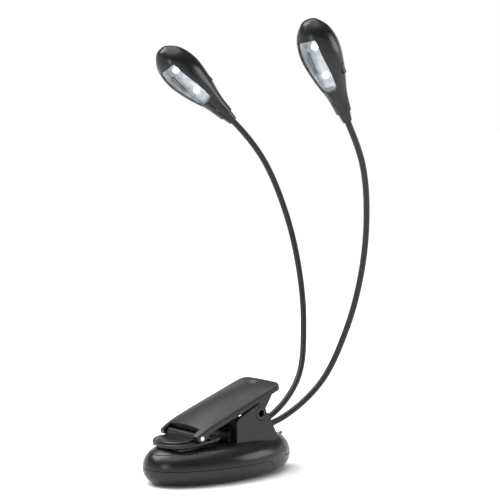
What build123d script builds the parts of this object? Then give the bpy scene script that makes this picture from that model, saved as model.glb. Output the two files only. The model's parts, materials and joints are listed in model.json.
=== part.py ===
from build123d import *
import os
from math import cos, radians, sin, sqrt

# Clip-on reading lamp: a pebble-shaped battery base, a spring clip on top of it, and two
# goosenecks that each carry a lamp head with two light-emitting diodes.
# Millimetres. X runs from the jaw (front) to the rear, Y to the left, Z up.
# The origin is the centre of the flat underside of the base.

# ---------------------------------------------------------------- driving dimensions
base_length = 100.0
base_width = 53.4
base_height = 20.6
top_round = 11.3           # radius of the shoulder above the parting line
bottom_round = 8.9         # radius of the belly below it
parting_z = 9.6            # height of the line where the battery door meets the housing
door_gap = 0.3
skin = 1.8                 # wall of the door and of the deck cover
double_skin = 3.4          # housing wall under the deck cover
seam = 0.45                # width of the groove round the deck cover
deck_half_length = 46.0
deck_half_width = 20.3
rear_flap_x = 35.3         # the deck cover wraps over the rear end behind this plane
door_end_top_x = 18.5      # slanted rear edge of the battery door, at the parting line
door_end_bottom_x = 30.0   # and at the underside

cell_radius = 5.25         # three size AAA cells side by side
cell_length = 44.5
cell_pitch = 11.0
cell_front_x = -27.3
cell_axis_z = 8.8
nub_length = 0.8

pivot_x = 18.3             # pivot of the clip lever
pivot_z = 35.7
lever_tilt = 20.8          # degrees that the closed lever rises towards the rear
clip_half_width = 17.2
ear_thickness = 2.0
ear_radius = 3.9
pivot_bore = 2.05          # open hole through each pivot rivet
rivet_radius = 2.7
running_gap = 0.06         # radial clearance of the turning fits
side_gap = 0.3             # clearance between parts that pass each other

lever_front = -46.8        # in the lever's own frame: x along the lever, z across it
lever_rear = 20.0
band_low = 6.7
band_high = 9.0
fork_half_gap = 13.5
notch_x = -40.9
pin_local_x = -43.6
pin_local_z = 6.7
jaw_pin_radius = 1.25

pad_tilt = 5.0             # degrees that the jaw pad rises towards the rear
pad_front_x = -42.0
pad_rear_x = -10.2
pad_half_width = 17.0
sole_thickness = 0.8
pad_thickness = 1.4

tube_radius = 1.85         # gooseneck
ball_gap = 0.15
links_per_arm = 6
arm_points = [             # left arm's centre line; the right arm mirrors these points in Y
    (8.0, 3.4, 24.0),
    (24.0, 3.9, 25.2),
    (42.0, 4.8, 27.6),
    (60.0, 6.8, 35.2),
    (75.5, 13.0, 57.0),
    (85.0, 22.0, 90.0),
    (85.5, 31.5, 128.0),
    (76.0, 41.5, 169.0),
]
arm_ends = {"left": (49.4, 52.7, 206.0), "right": (54.7, -45.9, 208.0)}
first_joint_length = 36.0  # along the centre line, from its start to the first bend

head_yaw = {"left": 17.5, "right": 3.8}      # turn of each head to the left of straight ahead
head_pitch = {"left": 42.0, "right": 63.0}   # rise of each head towards its tip
head_roll = {"left": 38.0, "right": 17.0}    # twist of each window about its head's length
head_length = 57.0
head_profile = [           # distance from the collar and radius there
    (0.0, 4.5),
    (10.0, 5.9),
    (20.0, 8.6),
    (30.0, 10.9),
    (38.0, 11.8),
    (45.0, 11.0),
    (50.5, 9.0),
    (54.8, 5.6),
]
head_wall = 1.3
head_seam_z = -1.0
window_start = 15.5
window_end = 47.5
window_half_start = 5.2
window_half_middle = 7.3
window_half_end = 6.0
led_places = (24.5, 42.0)
button_x = 25.0
button_travel = 0.8

sides = {"left": 1, "right": -1}
nodes = {}


# ---------------------------------------------------------------- helpers
def prism_y(points, y_low, y_high):
    """Straight-sided solid with an outline in X and Z between two Y planes."""
    outline = Polyline(*[(x, y_low, z) for x, z in points], close=True)
    return extrude(make_face(outline), amount=y_high - y_low, dir=(0, 1, 0))


def box_between(low, high):
    """Box from its lowest corner to its highest corner."""
    size = [b - a for a, b in zip(low, high)]
    return Pos(*low) * Box(*size, align=(Align.MIN, Align.MIN, Align.MIN))


def rod(start, direction, radius, length):
    """Cylinder that starts at a point and runs along a direction."""
    return Plane(origin=start, z_dir=direction) * Cylinder(
        radius, length, align=(Align.CENTER, Align.CENTER, Align.MIN))


def rod_y(x, z, radius, y_low, y_high):
    """Cylinder along Y."""
    return rod((x, y_low, z), (0, 1, 0), radius, y_high - y_low)


def pebble(inset):
    """Outer form of the base, or the same form drawn in by an inset."""
    outline = Ellipse(base_length / 2 - inset, base_width / 2 - inset)
    block = Pos(0, 0, inset) * extrude(outline, base_height - 2 * inset)
    block = fillet(block.edges().group_by(Axis.Z)[-1], top_round - inset)
    return fillet(block.edges().group_by(Axis.Z)[0], bottom_round - inset)


def mirrored(shape):
    """The same shape on the other side of the XZ plane."""
    return mirror(shape, about=Plane.XZ)


lever_frame_place = Pos(pivot_x, 0, pivot_z) * Rot(0, -lever_tilt, 0)
pad_frame_place = Pos(-37.0, 0, 21.35) * Rot(0, -pad_tilt, 0)
tilt_cos = cos(radians(lever_tilt))
tilt_sin = sin(radians(lever_tilt))
jaw_pin_x = pivot_x + pin_local_x * tilt_cos - pin_local_z * tilt_sin
jaw_pin_z = pivot_z + pin_local_x * tilt_sin + pin_local_z * tilt_cos


# ---------------------------------------------------------------- base
def door_zone(gap):
    """Space of the battery door: below the parting line, ahead of its slanted rear edge."""
    return prism_y(
        [(-60, -1), (door_end_bottom_x + 1.3 - gap, -1), (door_end_top_x - gap, parting_z - gap),
         (-60, parting_z - gap)], -40, 40)


def deck_zone(extra):
    """Column that the deck cover fills, with its flap over the rear end."""
    column = Pos(0, 0, 12) * extrude(Ellipse(deck_half_length + extra, deck_half_width + extra), 20)
    flap = box_between((rear_flap_x - extra, -40, parting_z - extra), (60, 40, 30))
    return column + flap


socket_start = (43.0, 0, 13.7)
socket_axis = (0.726, 0, 0.688)
socket_radius = 2.1
screw_places = [(5.0, 10.5), (5.0, -10.5), (26.0, 10.5), (26.0, -10.5)]


def make_base():
    """Housing, deck cover, battery door and everything inside them."""
    outer = pebble(0)
    inner = pebble(skin)
    deep = pebble(double_skin)
    socket_hole = rod(socket_start, socket_axis, socket_radius + 0.1, 12)
    screw_holes = [rod((x, y, 14), (0, 0, 1), 1.2, 10) for x, y in screw_places]

    housing = outer - deep - door_zone(0) - (deck_zone(seam) - inner)
    housing -= box_between((-60, -40, -1), (door_end_top_x, 40, parting_z))
    housing -= socket_hole
    housing -= box_between((15, -5.4, 1.5), (33.5, 5.4, double_skin + 0.1))
    for hole in screw_holes:
        housing -= hole
    for x, y in screw_places:
        housing -= rod((x, y, 12), (0, 0, 1), 2.25, base_height - double_skin - 12)
    housing = housing.solids().sort_by(SortBy.VOLUME)[-1]
    nodes["base_housing"] = housing

    deck = (outer - inner) & deck_zone(0)
    grip_recess = box_between((-37.3, -13.3, base_height - 0.6), (-13.7, 13.3, 30))
    deck -= grip_recess
    deck -= socket_hole
    for hole in screw_holes:
        deck -= hole
    nodes["deck_cover"] = deck

    grip = box_between((-37, -13, base_height - 0.6), (-14, 13, base_height + 0.2))
    for step in range(6):
        rib_x = -35.6 + 3.8 * step
        grip += box_between((rib_x, -12.2, base_height + 0.2), (rib_x + 1.4, 12.2, base_height + 0.5))
    nodes["lower_jaw_grip"] = grip

    door = (outer - inner) & door_zone(door_gap)
    for step in range(5):
        ridge_x = -37.0 + 2.2 * step
        door -= box_between((ridge_x, -7, -1), (ridge_x + 0.9, 7, 0.45))
    latch = box_between((22, -5, skin), (33, 5, skin + 1.2)) - box_between((-60, -9, -1), (20, 9, 1))
    nodes["battery_door"] = door + latch

    nodes["battery_tray"] = make_tray()
    make_cells()
    make_electronics()

    socket = rod(socket_start, socket_axis, socket_radius, 7.4)
    socket = fillet(socket.edges().group_by(Axis(socket_start, socket_axis))[-1], 0.4)
    socket -= rod(socket_start, socket_axis, 1.25, 9)
    nodes["power_socket"] = socket + rod(socket_start, socket_axis, 1.9, 2.0)

    screws = []
    for x, y in screw_places:
        shank = rod((x, y, base_height - double_skin), (0, 0, 1), 1.1, 4.4)
        head = rod((x, y, base_height - double_skin - 1.4), (0, 0, 1), 2.1, 1.4)
        screws.append(shank + head)
    nodes["bracket_screws"] = Compound(screws)


def make_tray():
    """Frame that holds the cells, under the housing's roof."""
    front = cell_front_x - 4.7
    rear = cell_front_x + cell_length + 0.5
    half = 1.5 * cell_pitch + 0.3
    roof_z = cell_axis_z + cell_radius + 0.3
    tray = box_between((front - 1.2, -half, roof_z), (rear + 1.2, half, roof_z + 1.2))
    tray += box_between((front - 1.2, -half, 4.2), (front, half, roof_z))
    tray += box_between((rear, -half, 4.2), (rear + 1.2, half, roof_z))
    for y in (-cell_pitch / 2, cell_pitch / 2):
        tray += box_between((front, y - 0.2, cell_axis_z + 2.6), (rear, y + 0.2, roof_z))
    return tray & pebble(double_skin + 0.1)


def make_cells():
    """Three cells in series, with a coil at one end of each and a plate at the other."""
    cells, coils, plates = [], [], []
    rear = cell_front_x + cell_length
    for number, y in enumerate((-cell_pitch, 0, cell_pitch)):
        body = rod((cell_front_x, y, cell_axis_z), (1, 0, 0), cell_radius, cell_length - nub_length)
        body = fillet(body.edges(), 0.4)
        body += rod((rear - nub_length - 0.1, y, cell_axis_z), (1, 0, 0), 1.9, nub_length + 0.1)
        path = Helix(pitch=1.3, height=3.6, radius=2.6)
        wire = sweep(Plane(origin=path @ 0, z_dir=path % 0) * Circle(0.3), path=path)
        coil = Pos(cell_front_x - 4.0, y, cell_axis_z) * Rot(0, 90, 0) * wire
        plate_front = box_between((cell_front_x - 4.65, y - 4, 5), (cell_front_x - 4.35, y + 4, 12.5))
        plate_rear = box_between((rear + 0.1, y - 4, 5), (rear + 0.4, y + 4, 12.5))
        if number == 1:
            middle = Plane.YZ.offset((cell_front_x - 4.7 + rear + 0.5) / 2)
            body = mirror(body, about=middle)
            coil = mirror(coil, about=middle)
        cells.append(body)
        coils.append(coil)
        plates += [plate_front, plate_rear]
    trim = pebble(double_skin + 0.1)
    nodes["battery_cells"] = Compound(cells)
    nodes["battery_springs"] = Compound(coils)
    nodes["battery_contacts"] = Compound([plate & trim for plate in plates])


def make_electronics():
    """Circuit board behind the cells, with its parts on the underside."""
    board = box_between((21.5, -10, 11.6), (38, 10, 12.8))
    nodes["driver_board"] = board
    parts = [box_between((25, -3, 9.9), (30, 2, 11.5)), box_between((33, 3, 9.5), (36, 6, 11.5))]
    parts.append(rod((34, -5, 7.4), (0, 0, 1), 2.2, 4.1))
    nodes["board_parts"] = Compound(parts)


# ---------------------------------------------------------------- clip
plate_outline = [(0.3, 21.9), (0.3, 33.0), (1.6, 34.3), (16.5, 41.3), (21.6, 38.9), (30.4, 21.9)]
stop_wall_x = 0.9
stop_wall_radius = 3.4


def make_bracket():
    """Two side plates, a rounded cross wall and a foot that stands on the deck cover."""
    skin_low = clip_half_width - ear_thickness
    outer_plate = prism_y(plate_outline, skin_low - side_gap, clip_half_width)
    outer_plate = fillet(outer_plate.edges().filter_by(Axis.Y).group_by(Axis.X)[0], 0.25)
    pocket = rod_y(0, 0, ear_radius + side_gap, skin_low - side_gap, 30)
    pocket += box_between((0.2, skin_low - side_gap, -2.2), (9, 30, 8))
    outer_plate -= lever_frame_place * pocket
    inner_plate = prism_y([(4, 21.9), (4, 33), (16.5, 39.5), (21.3, 38.2), (29.8, 21.9)],
                          13.2, skin_low - side_gap)
    inner_plate += rod_y(pivot_x, pivot_z, 4.3, 13.2, skin_low - side_gap)
    inner_plate -= rod_y(pivot_x, pivot_z, rivet_radius + 0.02, 10, 20)
    lug = prism_y([(12.5, 21), (15.8, 37), (20.8, 37), (25, 21)], 8.2, 10.0)
    lug += rod_y(pivot_x, pivot_z, 3.2, 8.2, 10.0)
    lug -= rod_y(pivot_x, pivot_z, 1.52, 8, 11)
    half = outer_plate + inner_plate + lug
    foot = box_between((0.8, -16.6, 19), (29.8, 16.6, 21.9))
    wall = rod_y(stop_wall_x, 24.9, stop_wall_radius, -12.8, 12.8)
    wall += box_between((stop_wall_x - stop_wall_radius, -12.8, 21), (4.3, 12.8, 24.9))
    bracket = foot + wall + half + mirrored(half)
    bracket -= pebble(0)
    for x, y in screw_places:
        bracket -= rod((x, y, 17), (0, 0, 1), 1.2, 4.8)
    for name in sides:
        bracket -= root_channel(name, 2.65)
    nodes["clip_bracket"] = bracket

    rivet = rod_y(pivot_x, pivot_z, rivet_radius, 12.6, clip_half_width)
    rivet += rod_y(pivot_x, pivot_z, 3.5, 12.5, 13.2)
    rivet -= rod_y(pivot_x, pivot_z, pivot_bore, 10, 20)
    nodes["pivot_rivets"] = Compound([rivet, mirrored(rivet)])
    nodes["spring_pin"] = rod_y(pivot_x, pivot_z, 1.5, -10.4, 10.4)


def lever_plan(inset):
    """Outline of the lever from above, in its own frame, as a tall column."""
    outline = Pos((lever_front + lever_rear) / 2, 0) * RectangleRounded(
        lever_rear - lever_front - 2 * inset, 2 * (clip_half_width - inset), 5.0 - inset)
    column = Pos(0, 0, -5) * extrude(outline, 40)
    front = box_between((lever_front + inset, -clip_half_width + inset, -5),
                        (lever_front + 8, clip_half_width - inset, 35))
    return column + fillet(front.edges().filter_by(Axis.Z).group_by(Axis.X)[0], 2.2)


def crown_section(x, edge_z, crown_z, half):
    """Cross-section of the lever cover: flat below, straight short sides and an arched top."""
    plane = Plane(origin=(x, 0, 0), x_dir=(0, 1, 0), z_dir=(1, 0, 0))
    outline = Polyline((-half, edge_z), (-half, band_high - 3), (half, band_high - 3), (half, edge_z))
    arch = ThreePointArc((half, edge_z), (0, crown_z), (-half, edge_z))
    return plane * make_face(Curve() + [outline, arch])


def lever_crown(drop):
    """Arched body of the lever cover, lowered by a wall thickness for its inside."""
    stations = [(-48, 8.3, 9.6), (-42, 9.8, 11.6), (-32, 10.4, 13.3), (-18, 10.3, 13.8),
                (-4, 10.0, 13.2), (8, 9.7, 12.0), (16, 9.4, 10.6), (21, 9.2, 9.6)]
    faces = [crown_section(x, low - drop, high - drop, clip_half_width - drop)
             for x, low, high in stations]
    return loft(faces)


def make_lever():
    """Lower frame with its ears and fork, arched cover, screws and torsion spring."""
    plan = lever_plan(0)
    notch = box_between((-60, -fork_half_gap, -10), (notch_x, fork_half_gap, 30))
    slab = box_between((-60, -30, band_low), (30, 30, band_high)) & plan
    frame = slab - box_between((-37, -14.6, 0), (14, 14.6, band_high - 1.2))
    ear = rod_y(0, 0, ear_radius, clip_half_width - ear_thickness, clip_half_width)
    ear += prism_y([(0.5, 7.2), (0.5, 0), (3.4, 0.4), (3.8, 1.3), (9.6, 5.5), (11.8, 7.2)],
                   clip_half_width - ear_thickness, clip_half_width)
    finger = prism_y([(-37, 9), (-45.5, 9), (-46.7, 8.2), (-46.7, 6.4), (-44.6, 4.9), (-42.5, 4.7),
                      (-40.2, 5.2), (-37, 6.7)], fork_half_gap + 0.3, clip_half_width)
    frame += ear + mirrored(ear) + finger + mirrored(finger)
    frame -= notch
    frame -= rod_y(0, 0, rivet_radius + running_gap, -30, 30)
    frame -= rod_y(pin_local_x, pin_local_z, jaw_pin_radius + 0.02, -30, 30)
    screw_spots = [(x, y) for x in (-31.0, 1.5) for y in (-10.5, 10.5)]
    for x, y in screw_spots:
        frame -= rod((x, y, 5), (0, 0, 1), 1.1, 6)
    nodes["lever_frame"] = lever_frame_place * frame

    above = box_between((-60, -30, band_high + 0.02), (30, 30, 30))
    top = lever_crown(0) & lever_plan(0.25) & above
    hollow = lever_crown(1.6) & box_between((-39, -14.2, 0), (4, 14.2, 30))
    hollow &= lever_plan(1.8)
    cover = top - hollow - notch
    dish = Pos(13.2, 0, 12.8) * scale(Sphere(1), by=(4.6, 6.6, 3.0))
    cover -= dish
    for x, y in screw_spots:
        cover += rod((x, y, band_high + 0.02), (0, 0, 1), 2.2, 2.2)
        cover -= rod((x, y, 5), (0, 0, 1), 1.0, 5.6)
    cover = cover.solids().sort_by(SortBy.VOLUME)[-1]
    nodes["lever_cover"] = lever_frame_place * cover

    screws = []
    for x, y in screw_spots:
        screw = rod((x, y, band_high - 2.2), (0, 0, 1), 1.9, 1.0)
        screw += rod((x, y, band_high - 1.2), (0, 0, 1), 0.95, 2.7)
        screws.append(screw)
    nodes["lever_screws"] = lever_frame_place * Compound(screws)

    nodes["jaw_hinge_pin"] = lever_frame_place * rod_y(
        pin_local_x, pin_local_z, jaw_pin_radius, -clip_half_width - 0.1, clip_half_width + 0.1)
    nodes["torsion_spring"] = make_spring()


def make_spring():
    """Torsion spring round its own pin, with one leg up to the lever and one leg down."""
    wire = 0.6
    coil_radius = 2.7
    half = 6.75
    path = Helix(pitch=1.5, height=2 * half, radius=coil_radius)
    coil = sweep(Plane(origin=path @ 0, z_dir=path % 0) * Circle(wire), path=path)
    coil = Pos(0, half, 0) * Rot(90, 0, 0) * coil
    upper_leg = rod((coil_radius, -half, 0), (0.52, 0, 1), wire, 7.6)
    upper_leg &= box_between((-20, -20, -1), (20, 20, band_high - 1.3))
    lower_leg = rod((coil_radius, half, 0), (0.12, 0, -1), wire, 5.4)
    return lever_frame_place * (coil + upper_leg + lower_leg)


def pad_plan(inset, low, high):
    """Outline of the jaw pad: a half ellipse in front and straight sides behind."""
    straight_x = 10.0
    front_reach = straight_x - (pad_front_x + 37.0) - inset
    rear_x = pad_rear_x + 37.0 - inset
    half = pad_half_width - inset
    oval = Pos(straight_x, 0, low) * extrude(Ellipse(front_reach, half), high - low)
    block = box_between((straight_x, -half, low), (rear_x, half, high))
    block = fillet(block.edges().filter_by(Axis.Z).group_by(Axis.X)[-1], 3.0)
    return (oval & box_between((-40, -40, low), (straight_x, 40, high))) + block


def make_jaw():
    """Oval jaw pad with its hinge knuckle, and the rubber sole under it."""
    low = sole_thickness
    high = sole_thickness + pad_thickness
    plate = pad_plan(0, low, high)
    plate = fillet(plate.edges().group_by(Axis.Z)[-1], 0.6)
    boss = Pos(7.5, 0, high - 0.3) * extrude(Ellipse(10.5, 12.4), 1.5)
    boss = fillet(boss.edges().group_by(Axis.Z)[-1], 0.9)
    plate += boss
    for y_low, y_high in ((fork_half_gap - 0.3, 30), (-30, -fork_half_gap + 0.3)):
        plate -= box_between((8.5, y_low, low + 0.85), (18.5, y_high, 10))
    pad = pad_frame_place * plate
    knuckle = rod_y(jaw_pin_x, jaw_pin_z, 2.3, -12.4, 12.4)
    web = prism_y([(jaw_pin_x - 2.6, 23.8), (jaw_pin_x - 2.2, jaw_pin_z - 0.6),
                   (jaw_pin_x + 2.2, jaw_pin_z - 0.6), (jaw_pin_x + 3.4, 24.2)], -12.4, 12.4)
    pad += knuckle + web
    pad -= rod_y(jaw_pin_x, jaw_pin_z, jaw_pin_radius + running_gap, -30, 30)
    nodes["jaw_pad"] = pad
    sole = pad_plan(0.9, 0, low)
    for step in range(6):
        groove_x = -1.0 + 3.6 * step
        sole -= box_between((groove_x, -30, -1), (groove_x + 1.0, 30, 0.3))
    nodes["jaw_sole"] = pad_frame_place * sole


# ---------------------------------------------------------------- arms
def head_direction(name):
    """Direction from a head's collar to its tip."""
    yaw = radians(head_yaw[name])
    pitch = radians(head_pitch[name])
    return Vector(-cos(pitch) * cos(yaw), cos(pitch) * sin(yaw), sin(pitch))


def arm_line(name):
    """Centre line of one gooseneck, which ends in line with its lamp head."""
    side = sides[name]
    points = [(x, side * y, z) for x, y, z in arm_points] + [arm_ends[name]]
    return Spline(*points, tangents=[(1, side * 0.03, 0.06), head_direction(name)])


def arm_stations(line):
    """Distances along a centre line: its start, each bending joint and its end."""
    step = (line.length - first_joint_length) / links_per_arm
    return [0.0] + [first_joint_length + step * i for i in range(links_per_arm + 1)]


def point_on(line, distance):
    """Point at a distance along a centre line."""
    return line.position_at(distance, position_mode=PositionMode.LENGTH)


def tangent_on(line, distance):
    """Direction at a distance along a centre line."""
    return line.tangent_at(distance, position_mode=PositionMode.LENGTH)


def tube_between(line, start, end):
    """Stretch of gooseneck between two distances along its centre line."""
    middle = point_on(line, (start + end) / 2)
    path = ThreePointArc(point_on(line, start), middle, point_on(line, end))
    return sweep(Plane(origin=path @ 0, z_dir=path % 0) * Circle(tube_radius), path=path)


def make_arm(name):
    """Root stub and links of one gooseneck, each link turning on the ball at its start."""
    line = arm_line(name)
    marks = arm_stations(line)
    for number in range(links_per_arm + 1):
        start = marks[number]
        end = marks[number + 1]
        last = number == links_per_arm
        link = tube_between(line, start, end if last else end - 0.5 * tube_radius)
        if number:
            link += Pos(point_on(line, start)) * Sphere(tube_radius)
        if not last:
            link -= Pos(point_on(line, end)) * Sphere(tube_radius + ball_gap)
        nodes["gooseneck_%s_%s" % (name, number if number else "root")] = link


def root_channel(name, radius):
    """Straight channel for one gooseneck root and its crimp sleeve."""
    line = arm_line(name)
    start = point_on(line, 0)
    along = tangent_on(line, 0)
    return rod(start - along * 5, along, radius, 30)


def make_anchor():
    """Block between the side plates that grips both gooseneck roots, with crimp sleeves."""
    block = box_between((6, -7.8, 21.9), (17, 7.8, 27.6))
    block = fillet(block.edges().filter_by(Axis.Y).group_by(Axis.Z)[-1], 1.0)
    sleeves = []
    for name in sides:
        line = arm_line(name)
        start = point_on(line, 0)
        along = tangent_on(line, 0)
        block -= root_channel(name, 2.6)
        sleeve = rod(start, along, 2.55, 11.5) - rod(start - along, along, tube_radius + 0.1, 20)
        sleeves.append(sleeve)
    nodes["arm_anchor"] = block
    nodes["crimp_sleeves"] = Compound(sleeves)


# ---------------------------------------------------------------- lamp heads
def head_place(name):
    """Frame of a lamp head: X towards its tip, Z out of its window."""
    yaw = radians(head_yaw[name])
    pitch = radians(head_pitch[name])
    along = head_direction(name)
    out = Vector(-sin(pitch) * cos(yaw), sin(pitch) * sin(yaw), -cos(pitch))
    out = out.rotate(Axis((0, 0, 0), along), head_roll[name])
    return Plane(origin=arm_ends[name], x_dir=along, z_dir=out)


def teardrop(inset):
    """Turned body of a lamp head, drawn in by an inset."""
    points = [(x, radius - inset) for x, radius in head_profile]
    outline = Spline(*points, (head_length - inset, 0), tangents=[(1, 0.12), (0, -1)])
    edge = Polyline((head_length - inset, 0), (0, 0), (0, head_profile[0][1] - inset))
    return revolve(Plane.XY * make_face(Curve() + [outline, edge]), Axis.X)


def window_column(grow):
    """Column through the window: bowed long sides and rounded corners."""
    start = window_start - grow
    end = window_end + grow
    middle = (window_start + window_end) / 2
    corners = [(start, window_half_start + grow), (middle, window_half_middle + grow),
               (end, window_half_end + grow)]
    upper = ThreePointArc(*corners)
    lower = ThreePointArc(*[(x, -y) for x, y in corners])
    caps = [Line(corners[0], (start, -corners[0][1])), Line(corners[2], (end, -corners[2][1]))]
    column = Pos(0, 0, -2) * extrude(make_face(Curve() + [upper, lower] + caps), 20)
    return fillet(column.edges().filter_by(Axis.Z), 1.3 + grow)


def above(height):
    """Space in front of a height in a head's frame."""
    return box_between((-10, -30, height), (70, 30, 40))


def make_head(name):
    """Every piece of one lamp head, made in its own frame and set on the gooseneck's end."""
    place = head_place(name)
    pieces = {}
    body = teardrop(0)
    shell = body - teardrop(head_wall)
    collar_hole = rod((-5, 0, 0), (1, 0, 0), 2.4, 14)
    button_plan = Plane(origin=(button_x, -20, head_seam_z), x_dir=(1, 0, 0), z_dir=(0, 1, 0))
    button_slot = extrude(button_plan * SlotOverall(6.6, 3.2), 17)
    screw_x = 7.0
    screw_z = 4.2
    cover = shell - above(head_seam_z - 0.1) - button_slot - collar_hole
    post = rod((screw_x, 0, -4.9), (0, 0, 1), 1.9, 3.8)
    cover += post - rod((screw_x, 0, -3.4), (0, 0, 1), 1.12, 9) - rod((-5, 0, 0), (1, 0, 0), 2.6, 9)
    pieces["head_cover"] = cover.solids().sort_by(SortBy.VOLUME)[-1]

    frame = (shell & above(head_seam_z + 0.1)) - window_column(0) - button_slot - collar_hole
    frame -= rod((screw_x, 0, 0), (0, 0, 1), 1.25, 9)
    frame -= rod((screw_x, 0, screw_z), (0, 0, 1), 1.8, 9)
    pieces["head_frame"] = frame.solids().sort_by(SortBy.VOLUME)[-1]

    tray = (window_column(-0.15) & teardrop(1.55)) & above(2.2)
    tray -= window_column(-0.75) & above(2.9)
    for x in led_places:
        tray -= rod((x, 0, 0), (0, 0, 1), 2.05, 5)
    for y in (-5.7, 5.7):
        tray -= box_between((26.5, y - 0.35, 1), (39.5, y + 0.35, 3.5))
    pieces["reflector"] = tray.solids().sort_by(SortBy.VOLUME)[-1]

    lens = (window_column(-0.1) & (teardrop(0.35) - teardrop(1.5))) & above(1)
    pieces["window"] = lens.solids().sort_by(SortBy.VOLUME)[-1]

    lamps = []
    for x in led_places:
        lamp = rod((x, 0, 0.85), (0, 0, 1), 1.9, 2.35)
        lamps.append(lamp + Pos(x, 0, 3.2) * Sphere(1.9))
    pieces["leds"] = Compound(lamps)
    pieces["led_board"] = box_between((21.5, -5, -0.25), (45, 5, 0.8))

    button = extrude(Pos(0, 0, 0) * button_plan * SlotOverall(6.0, 2.6), 14)
    button &= box_between((0, -10.5, -10), (50, -6.3, 10))
    pieces["switch_button"] = fillet(button.edges().group_by(Axis.Y)[0], 0.45)
    pieces["switch_body"] = box_between((21.6, -5.1, -4.9), (28.4, -1.2, -0.65))

    screw = rod((screw_x, 0, screw_z + 0.02), (0, 0, 1), 1.7, 0.55)
    screw += rod((screw_x, 0, -3.2), (0, 0, 1), 1.1, screw_z + 3.3)
    screw -= box_between((screw_x - 1.2, -0.22, screw_z + 0.3), (screw_x + 1.2, 0.22, 9))
    screw -= box_between((screw_x - 0.22, -1.2, screw_z + 0.3), (screw_x + 0.22, 1.2, 9))
    pieces["head_screw"] = screw

    profile = Polyline((-6.0, tube_radius + 0.12), (-6.0, 2.75), (-0.1, 3.75), (-0.1, 2.3), (2.4, 2.3),
                       (2.4, tube_radius + 0.12), close=True)
    pieces["head_collar"] = revolve(Plane.XY * make_face(profile), Axis.X)

    for piece, shape in pieces.items():
        nodes["%s_%s" % (piece, name)] = place * shape


# ---------------------------------------------------------------- build and write
make_base()
make_bracket()
make_lever()
make_jaw()
make_anchor()
for side_name in sides:
    make_arm(side_name)
    make_head(side_name)

os.makedirs("parts", exist_ok=True)
for node_name, shape in nodes.items():
    shape.label = node_name
    export_step(shape, "parts/%s.step" % node_name)
print(len(nodes), "nodes")
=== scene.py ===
"""Looks of a clip-on reading lamp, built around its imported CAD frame."""
import json
import math

import bpy
import numpy as np
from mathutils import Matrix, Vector


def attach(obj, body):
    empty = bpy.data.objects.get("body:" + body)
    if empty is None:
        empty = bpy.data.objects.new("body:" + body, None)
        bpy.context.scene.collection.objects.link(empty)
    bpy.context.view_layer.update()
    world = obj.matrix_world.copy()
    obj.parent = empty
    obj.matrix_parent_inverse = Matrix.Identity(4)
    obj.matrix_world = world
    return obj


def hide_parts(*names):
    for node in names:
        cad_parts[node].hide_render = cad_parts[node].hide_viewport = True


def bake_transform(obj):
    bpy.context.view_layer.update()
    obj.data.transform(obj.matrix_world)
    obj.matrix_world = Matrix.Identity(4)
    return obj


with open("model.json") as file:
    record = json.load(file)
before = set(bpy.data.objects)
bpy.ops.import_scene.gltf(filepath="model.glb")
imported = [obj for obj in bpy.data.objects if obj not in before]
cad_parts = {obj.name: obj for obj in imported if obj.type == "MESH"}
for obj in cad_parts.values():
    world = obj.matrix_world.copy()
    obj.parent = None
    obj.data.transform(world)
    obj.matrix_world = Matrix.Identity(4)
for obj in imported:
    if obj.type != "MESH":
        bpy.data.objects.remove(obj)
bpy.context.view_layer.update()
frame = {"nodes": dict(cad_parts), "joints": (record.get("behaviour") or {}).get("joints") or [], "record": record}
MM = 0.001
SIDES = {"left": 1, "right": -1}
JOINTS = {joint["name"]: joint for joint in frame["joints"]}


# ---------------------------------------------------------------- camera
CAMERA_PLACE = Vector((-0.6121, -0.7583, 0.2153))
CAMERA_LOOK = Vector((0.64031, 0.76309, -0.08768))
FOCAL_LENGTH = 123.84
SENSOR_WIDTH = 36.0
NEAR_CLIP = 0.05
FAR_CLIP = 50.0


def make_camera():
    """Camera at the viewing angle of the photographed lamp."""
    data = bpy.data.cameras.new("camera")
    data.lens = FOCAL_LENGTH
    data.sensor_width = SENSOR_WIDTH
    data.clip_start = NEAR_CLIP
    data.clip_end = FAR_CLIP
    camera = bpy.data.objects.new("camera", data)
    camera.location = CAMERA_PLACE
    camera.rotation_mode = "QUATERNION"
    camera.rotation_quaternion = CAMERA_LOOK.to_track_quat("-Z", "Y")
    bpy.context.scene.collection.objects.link(camera)
    bpy.context.scene.camera = camera


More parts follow.
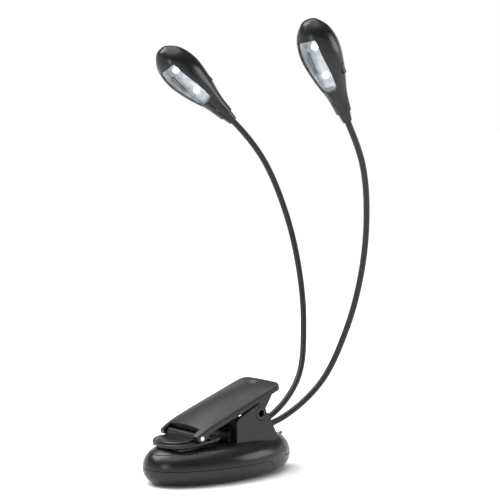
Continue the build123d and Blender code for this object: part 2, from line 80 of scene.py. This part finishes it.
# ---------------------------------------------------------------- materials
class Graph:
    """Small helper for building a node material."""

    def __init__(self, name):
        self.material = bpy.data.materials.new(name)
        self.material.use_nodes = True
        self.nodes = self.material.node_tree.nodes
        self.links = self.material.node_tree.links
        self.shader = self.nodes["Principled BSDF"]
        coordinates = self.nodes.new("ShaderNodeTexCoord")
        self.place = coordinates.outputs["Object"]

    def node(self, kind, links=(), **values):
        """New node with its inputs set, and with links from other sockets."""
        made = self.nodes.new(kind)
        for key, value in values.items():
            if key in made.inputs:
                made.inputs[key].default_value = value
            else:
                setattr(made, key, value)
        for key, socket in links:
            self.links.new(socket, made.inputs[key])
        return made

    def noise(self, scale, detail=4.0, roughness=0.5, place=None):
        """Noise over the object's own space; scale is in cells per metre."""
        made = self.node("ShaderNodeTexNoise", [("Vector", place or self.place)], Scale=scale)
        made.inputs["Detail"].default_value = detail
        made.inputs["Roughness"].default_value = roughness
        return made.outputs["Fac"]

    def stretch(self, factors):
        """The object's coordinates, stretched along each axis."""
        made = self.node("ShaderNodeMapping", [("Vector", self.place)])
        made.inputs["Scale"].default_value = factors
        return made.outputs["Vector"]

    def remap(self, socket, low, high, to_low, to_high):
        """Value moved from one range to another, clamped."""
        made = self.node("ShaderNodeMapRange", [("Value", socket)])
        limits = {"From Min": low, "From Max": high, "To Min": to_low, "To Max": to_high}
        for key, value in limits.items():
            made.inputs[key].default_value = value
        return made.outputs["Result"]

    def ramp(self, socket, stops):
        """Colour ramp through (position, colour) stops."""
        made = self.node("ShaderNodeValToRGB", [("Fac", socket)])
        elements = made.color_ramp.elements
        while len(elements) < len(stops):
            elements.new(0.5)
        for element, (position, colour) in zip(elements, stops):
            element.position = position
            element.color = (*colour, 1.0)
        return made.outputs["Color"]

    def maths(self, operation, a, b):
        """Two values joined by a maths operation; each is a socket or a number."""
        made = self.node("ShaderNodeMath", operation=operation)
        for index, value in enumerate((a, b)):
            if isinstance(value, (int, float)):
                made.inputs[index].default_value = value
            else:
                self.links.new(value, made.inputs[index])
        return made.outputs["Value"]

    def bump(self, height, distance, strength=1.0, normal=None):
        """Bump from a height socket; distance is in metres."""
        made = self.node("ShaderNodeBump", [("Height", height)], Strength=strength, Distance=distance)
        if normal is not None:
            self.links.new(normal, made.inputs["Normal"])
        return made.outputs["Normal"]

    def set(self, **sockets):
        """Sets or links inputs of the shader by name, with _ for a space."""
        for key, value in sockets.items():
            socket = self.shader.inputs[key.replace("_", " ")]
            if isinstance(value, bpy.types.NodeSocket):
                self.links.new(value, socket)
            else:
                socket.default_value = value
        return self.material


def moulded(name, dark, light, rough, grain, coat=0.0, coat_rough=0.1):
    """Moulded plastic: faint tone changes, handling marks in the gloss and a fine spark grain."""
    g = Graph(name)
    cloud = g.noise(60.0, 3.0)
    colour = g.ramp(cloud, [(0.3, dark), (0.7, light)])
    smudge = g.noise(160.0, 6.0, 0.62)
    fine = g.noise(2600.0, 2.0)
    roughness = g.remap(smudge, 0.3, 0.7, rough * 0.88, rough * 1.18)
    coarse = g.noise(420.0, 3.0)
    height = g.maths("ADD", g.maths("MULTIPLY", fine, 0.5), g.maths("MULTIPLY", coarse, 0.9))
    normal = g.bump(height, grain)
    return g.set(Base_Color=colour, Roughness=roughness, Normal=normal, Coat_Weight=coat,
                 Coat_Roughness=coat_rough, Specular_IOR_Level=0.3)


def metal(name, colour, rough, grain=0.00002):
    """Drawn or plated metal with fine lines and slight tarnish."""
    g = Graph(name)
    dull = tuple(c * 0.72 for c in colour)
    tone = g.ramp(g.noise(300.0, 5.0, 0.6), [(0.3, dull), (0.65, colour)])
    lines = g.noise(1.0, 3.0, 0.5, g.stretch((300.0, 5200.0, 5200.0)))
    roughness = g.remap(lines, 0.3, 0.7, rough * 0.7, rough * 1.4)
    return g.set(Base_Color=tone, Metallic=1.0, Roughness=roughness, Normal=g.bump(lines, grain))


def rubber(name):
    """Matt black rubber with a pebbled skin and a little dust."""
    g = Graph(name)
    tone = g.ramp(g.noise(500.0, 5.0), [(0.35, (0.012, 0.012, 0.012)), (0.75, (0.03, 0.03, 0.03))])
    cells = g.node("ShaderNodeTexVoronoi", [("Vector", g.place)], Scale=2600.0)
    normal = g.bump(cells.outputs["Distance"], 0.00004)
    return g.set(Base_Color=tone, Roughness=0.62, Normal=normal)


def board_material(name):
    """Green solder mask with lighter tracks."""
    g = Graph(name)
    tracks = g.node("ShaderNodeTexBrick", [("Vector", g.place)], Scale=520.0)
    tracks.inputs["Color1"].default_value = (0.012, 0.11, 0.045, 1.0)
    tracks.inputs["Color2"].default_value = (0.015, 0.13, 0.05, 1.0)
    tracks.inputs["Mortar"].default_value = (0.05, 0.26, 0.11, 1.0)
    tracks.inputs["Mortar Size"].default_value = 0.012
    return g.set(Base_Color=tracks.outputs["Color"], Roughness=0.4,
                 Normal=g.bump(g.noise(1500.0), 0.00002))


def cell_material(name):
    """Plain printed jacket of a battery cell: a dark body and a copper-coloured band."""
    g = Graph(name)
    axes = g.node("ShaderNodeSeparateXYZ", [("Vector", g.place)])
    band = g.remap(axes.outputs["X"], 0.004, 0.0042, 0.0, 1.0)
    tone = g.ramp(band, [(0.4, (0.02, 0.021, 0.024)), (0.6, (0.55, 0.27, 0.12))])
    return g.set(Base_Color=tone, Metallic=0.6, Roughness=g.remap(g.noise(400.0), 0.3, 0.7, 0.2, 0.34))


def tray_material(name):
    """Silvered reflector tray with slight waviness and a faint painted glow, emission that stands in for the light
    of its lamps.
    """
    g = Graph(name)
    wave = g.noise(260.0, 3.0, 0.5)
    tone = g.ramp(wave, [(0.3, (0.34, 0.355, 0.365)), (0.7, (0.54, 0.56, 0.57))])
    # painted light: the tray gets a faint emission glow that stands in for light from its lamps, though the tray
    # itself is no lamp
    lamp_and_painted_glow = g.ramp(wave, [(0.3, (0.72, 0.78, 0.84)), (0.7, (0.93, 0.97, 1.0))])
    return g.set(Base_Color=tone, Metallic=0.85, Roughness=0.34, Normal=g.bump(wave, 0.0002, 0.5),
                 Emission_Color=lamp_and_painted_glow, Emission_Strength=0.03)


def led_material(name):
    """Lit dome of a white lamp."""
    g = Graph(name)
    swirl = g.noise(900.0, 3.0)
    lamp_and_painted_glow = g.ramp(swirl, [(0.3, (0.86, 0.94, 1.0)), (0.7, (1.0, 1.0, 1.0))])
    return g.set(Base_Color=(0.9, 0.95, 1.0, 1.0), Roughness=0.15, Emission_Color=lamp_and_painted_glow,
                 Emission_Strength=2.2, Normal=g.bump(swirl, 0.00003))


def lens_material(name):
    """Clear moulded window with faint mould waves."""
    g = Graph(name)
    wave = g.noise(180.0, 2.0)
    return g.set(Base_Color=(0.97, 0.985, 1.0, 1.0), Roughness=g.remap(wave, 0.3, 0.7, 0.02, 0.06),
                 Transmission_Weight=1.0, IOR=1.12, Normal=g.bump(wave, 0.00006))


def sleeve_material(name):
    """Black gooseneck sleeve with uneven gloss and a fine grain."""
    g = Graph(name)
    cloud = g.noise(500.0, 5.0, 0.6)
    tone = g.ramp(cloud, [(0.3, (0.006, 0.006, 0.0065)), (0.75, (0.014, 0.014, 0.015))])
    roughness = g.remap(g.noise(700.0, 4.0), 0.3, 0.7, 0.3, 0.46)
    normal = g.bump(g.noise(3000.0, 3.0), 0.00002)
    return g.set(Base_Color=tone, Roughness=roughness, Normal=normal, Specular_IOR_Level=0.35)


def floor_material(name):
    """Matt white studio floor with faint tone changes."""
    g = Graph(name)
    tone = g.ramp(g.noise(1.5, 2.0), [(0.3, (0.93, 0.93, 0.935)), (0.7, (0.95, 0.95, 0.955))])
    return g.set(Base_Color=tone, Roughness=0.5, Specular_IOR_Level=0.06)


def make_materials():
    """Every material, by the name of its slot in the record."""
    black = (0.0075, 0.0075, 0.008)
    soft_black = (0.012, 0.012, 0.013)
    grey_black = (0.02, 0.02, 0.021)
    return {
        "body_plastic": moulded("body plastic", black, soft_black, 0.24, 0.000012, 0.1, 0.12),
        "deck_plastic": moulded("deck plastic", black, soft_black, 0.27, 0.000016, 0.1, 0.15),
        "lever_plastic": moulded("lever plastic", soft_black, (0.019, 0.019, 0.02), 0.38, 0.00003),
        "head_plastic": moulded("head plastic", black, soft_black, 0.24, 0.00001, 0.1, 0.1),
        "inner_plastic": moulded("inner plastic", soft_black, grey_black, 0.5, 0.00004),
        "button_plastic": moulded("button plastic", grey_black, (0.035, 0.035, 0.037), 0.4, 0.00003),
        "component": moulded("component plastic", grey_black, (0.03, 0.03, 0.032), 0.5, 0.00003),
        "rubber": rubber("rubber"),
        "sleeve": sleeve_material("gooseneck sleeve"),
        "steel": metal("spring steel", (0.42, 0.43, 0.45), 0.32),
        "rivet_metal": metal("blackened metal", (0.07, 0.07, 0.075), 0.35),
        "bright_metal": metal("nickel plate", (0.78, 0.78, 0.8), 0.2),
        "reflector": tray_material("silvered tray"),
        "lens": lens_material("clear window"),
        "led": led_material("lit lamp"),
        "board": board_material("solder mask"),
        "cell_jacket": cell_material("cell jacket"),
    }


def dress(thing, material):
    """Gives an object one material in its only slot."""
    if not thing.data.materials:
        thing.data.materials.append(material)
    for index in range(len(thing.data.materials)):
        thing.data.materials[index] = material


def dress_frame(materials):
    """Assigns each carried-over CAD node the material of its slot, and dark metal to the lever's screws."""
    for part in frame["record"]["subparts"]:
        slot = "rivet_metal" if part["node"] == "lever_screws" else part["material_slot"]
        dress(frame["nodes"][part["node"]], materials[slot])


# ---------------------------------------------------------------- goosenecks
TUBE_RADIUS = 1.85 * MM
RING_PITCH = 0.65 * MM
RING_DEPTH = 0.09 * MM
RING_STEPS = 4
TUBE_SIDES = 24
TANGENT_REACH = 0.4 * MM   # distance each way over which a sleeve's direction is taken
LINE_STEP = 0.25 * MM      # spacing of the points on a gooseneck's centre line
ROOT_START = 2.0 * MM      # the sleeve starts this far along the centre line
ROOT_BACK = 12.0 * MM      # the fixed root piece ends this far before the first bend
HEAD_BACK = 14.0 * MM      # the last piece starts this far before the head
HEAD_GAP = 1.0 * MM        # and ends this far before it
ARM_START = (8.0, 3.4, 24.0)
ARM_START_TURN = (1.0, 0.03, 0.06)
HEAD_PLACES = {"left": (49.4, 52.7, 206.0), "right": (54.7, -45.9, 208.0)}
HEAD_TURNS = {"left": (-0.7088, 0.2235, 0.6691), "right": (-0.4530, 0.0301, 0.8910)}
LINKS = 6


def joint_places(side):
    """Points where one gooseneck bends, from its root to its head."""
    found = [j for j in frame["joints"] if j["name"].startswith(side + "_arm_")]
    found.sort(key=lambda j: int(j["name"].rsplit("_", 1)[1]))
    return [Vector(j["pos_m"]) for j in found]


def hermite(points, first, last):
    """Smooth dense line through points, with given directions at its two ends."""
    count = len(points)
    spans = [(points[i + 1] - points[i]).length for i in range(count - 1)]
    slopes = []
    for i in range(count):
        if i in (0, count - 1):
            slopes.append((first if i == 0 else last).normalized())
            continue
        before = (points[i] - points[i - 1]) / spans[i - 1]
        after = (points[i + 1] - points[i]) / spans[i]
        slopes.append((before * spans[i] + after * spans[i - 1]) / (spans[i] + spans[i - 1]))
    line = []
    for i in range(count - 1):
        steps = max(8, int(spans[i] / LINE_STEP))
        for step in range(steps):
            t = step / steps
            a = 2 * t ** 3 - 3 * t ** 2 + 1
            b = (t ** 3 - 2 * t ** 2 + t) * spans[i]
            c = -2 * t ** 3 + 3 * t ** 2
            d = (t ** 3 - t ** 2) * spans[i]
            line.append(points[i] * a + slopes[i] * b + points[i + 1] * c + slopes[i + 1] * d)
    line.append(points[-1])
    return line


def lengths_along(line):
    """Distance of each point of a line from its start."""
    total = [0.0]
    for a, b in zip(line, line[1:]):
        total.append(total[-1] + (b - a).length)
    return total


def ring_profile(distance):
    """Radius of the sleeve at a distance along it: rounded rings with narrow grooves."""
    phase = (distance / RING_PITCH) % 1.0
    return TUBE_RADIUS - RING_DEPTH * (1.0 - abs(math.sin(math.pi * phase)) ** 0.6)


def sleeve_mesh(name, line, totals, start, end):
    """Ribbed tube between two distances along a line."""
    step = RING_PITCH / RING_STEPS
    first = math.ceil(start / step - 1e-6)
    last = math.floor(end / step + 1e-6)
    stations = [start] + [i * step for i in range(first, last + 1) if start < i * step < end] + [end]
    line_array = np.array([tuple(p) for p in line])
    totals_array = np.array(totals)

    def sample(distances):
        """Points of the line at the given distances."""
        columns = [np.interp(distances, totals_array, line_array[:, k]) for k in range(3)]
        return np.stack(columns, axis=1)

    centres = sample(stations)
    ahead = sample(np.add(stations, TANGENT_REACH))
    behind = sample(np.add(stations, -TANGENT_REACH))
    vertices = []
    faces = []
    for i, distance in enumerate(stations):
        along = Vector(ahead[i] - behind[i]).normalized()
        across = along.cross(Vector((0.0, 1.0, 0.0))).normalized()
        up = across.cross(along)
        radius = ring_profile(distance)
        centre = Vector(centres[i])
        for k in range(TUBE_SIDES):
            angle = 2 * math.pi * k / TUBE_SIDES
            vertices.append(centre + (across * math.cos(angle) + up * math.sin(angle)) * radius)
        if i:
            low = (i - 1) * TUBE_SIDES
            for k in range(TUBE_SIDES):
                n = (k + 1) % TUBE_SIDES
                faces.append((low + k, low + n, low + TUBE_SIDES + n, low + TUBE_SIDES + k))
    faces.append(tuple(range(TUBE_SIDES))[::-1])
    top = (len(stations) - 1) * TUBE_SIDES
    faces.append(tuple(range(top, top + TUBE_SIDES)))
    mesh = bpy.data.meshes.new(name)
    mesh.from_pydata([tuple(v) for v in vertices], [], faces)
    for polygon in mesh.polygons:
        polygon.use_smooth = len(polygon.vertices) == 4
    piece = bpy.data.objects.new(name, mesh)
    bpy.context.scene.collection.objects.link(piece)
    return piece


def make_gooseneck(side, material):
    """Sleeve of one gooseneck, in pieces that each bend over one joint."""
    sign = SIDES[side]
    start = Vector((ARM_START[0], sign * ARM_START[1], ARM_START[2])) * MM
    turn = Vector((ARM_START_TURN[0], sign * ARM_START_TURN[1], ARM_START_TURN[2]))
    joints = joint_places(side)
    end = Vector(HEAD_PLACES[side]) * MM
    line = hermite([start] + joints + [end], turn, Vector(HEAD_TURNS[side]))
    totals = lengths_along(line)
    marks = [0.0]
    for joint in joints:
        nearest = min(range(len(line)), key=lambda i: (line[i] - joint).length)
        marks.append(totals[nearest])
    marks.append(totals[-1])
    cuts = [marks[0] + ROOT_START, marks[1] - ROOT_BACK]
    cuts += [(marks[i] + marks[i + 1]) / 2 for i in range(1, LINKS)]
    cuts += [marks[-1] - HEAD_BACK, marks[-1] - HEAD_GAP]
    for number in range(LINKS + 2):
        name = "sleeve_%s_%d" % (side, number)
        piece = sleeve_mesh(name, line, totals, cuts[number], cuts[number + 1])
        dress(piece, material)
        if number == 0:
            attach(piece, "base")
            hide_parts("gooseneck_%s_root" % side)
        elif number > LINKS:
            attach(piece, "%s_link_%d" % (side, LINKS))
        else:
            joint = joints[number - 1]
            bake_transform(piece)
            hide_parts("gooseneck_%s_%d" % (side, number))


# ---------------------------------------------------------------- stage
# Brightness of the surroundings by the height of the direction: white near the horizon, dark above.
SKY_STOPS = ((0.0, 1.0), (0.2, 1.0), (0.34, 0.12), (0.7, 0.16), (0.9, 0.5))
FLOOR_HALF = 8.0
FLOOR_LEVEL = -0.0003
OVERHEAD_POWER = 2.7
OVERHEAD_SPREAD = math.radians(80.0)
OVERHEAD_TURN = (math.radians(-12.0), math.radians(-8.0), 0.0)


def area_light(name, place, target, size, power, colour=(1.0, 1.0, 1.0)):
    """Soft rectangular studio light aimed at a point."""
    data = bpy.data.lights.new(name, "AREA")
    data.shape = "RECTANGLE"
    data.size, data.size_y = size
    data.energy = power
    data.color = colour
    light = bpy.data.objects.new(name, data)
    light.location = place
    aim = Vector(target) - Vector(place)
    light.rotation_mode = "QUATERNION"
    light.rotation_quaternion = aim.to_track_quat("-Z", "Y")
    bpy.context.scene.collection.objects.link(light)
    return light


def make_stage(material):
    """Pale floor, surroundings that are white near the horizon, and soft lights."""
    mesh = bpy.data.meshes.new("floor")
    corners = [(x * FLOOR_HALF, y * FLOOR_HALF, FLOOR_LEVEL) for x, y in ((-1, -1), (1, -1), (1, 1), (-1, 1))]
    mesh.from_pydata(corners, [], [(0, 1, 2, 3)])
    floor = bpy.data.objects.new("floor", mesh)
    bpy.context.scene.collection.objects.link(floor)
    dress(floor, material)
    world = bpy.data.worlds.new("studio")
    bpy.context.scene.world = world
    world.use_nodes = True
    tree = world.node_tree
    direction = tree.nodes.new("ShaderNodeTexCoord")
    axes = tree.nodes.new("ShaderNodeSeparateXYZ")
    ramp = tree.nodes.new("ShaderNodeValToRGB")
    tree.links.new(direction.outputs["Generated"], axes.inputs["Vector"])
    tree.links.new(axes.outputs["Z"], ramp.inputs["Fac"])
    tree.links.new(ramp.outputs["Color"], tree.nodes["Background"].inputs["Color"])
    elements = ramp.color_ramp.elements
    while len(elements) < len(SKY_STOPS):
        elements.new(0.5)
    for element, (position, brightness) in zip(elements, SKY_STOPS):
        element.position = position
        element.color = (brightness, brightness, brightness, 1.0)
    tree.nodes["Background"].inputs["Strength"].default_value = 1.0
    sun = bpy.data.lights.new("overhead", "SUN")
    sun.energy = OVERHEAD_POWER
    sun.angle = OVERHEAD_SPREAD
    overhead = bpy.data.objects.new("overhead", sun)
    overhead.rotation_euler = OVERHEAD_TURN
    bpy.context.scene.collection.objects.link(overhead)
    area_light("key", (-0.5, 0.5, 1.2), (0.0, 0.0, 0.1), (0.9, 0.9), 14.0)
    area_light("fill", (1.0, -0.7, 0.55), (0.0, 0.0, 0.08), (0.7, 0.5), 4.5)
    area_light("window", (-1.2, -0.5, 0.45), (0.0, 0.0, 0.05), (0.4, 0.5), 2.4)
    bpy.context.scene.view_settings.view_transform = "Standard"
    bpy.context.scene.view_settings.exposure = 0.0


# ---------------------------------------------------------------- build
make_camera()
all_materials = make_materials()
dress_frame(all_materials)
for side_name in SIDES:
    make_gooseneck(side_name, all_materials["sleeve"])
make_stage(floor_material("studio floor"))
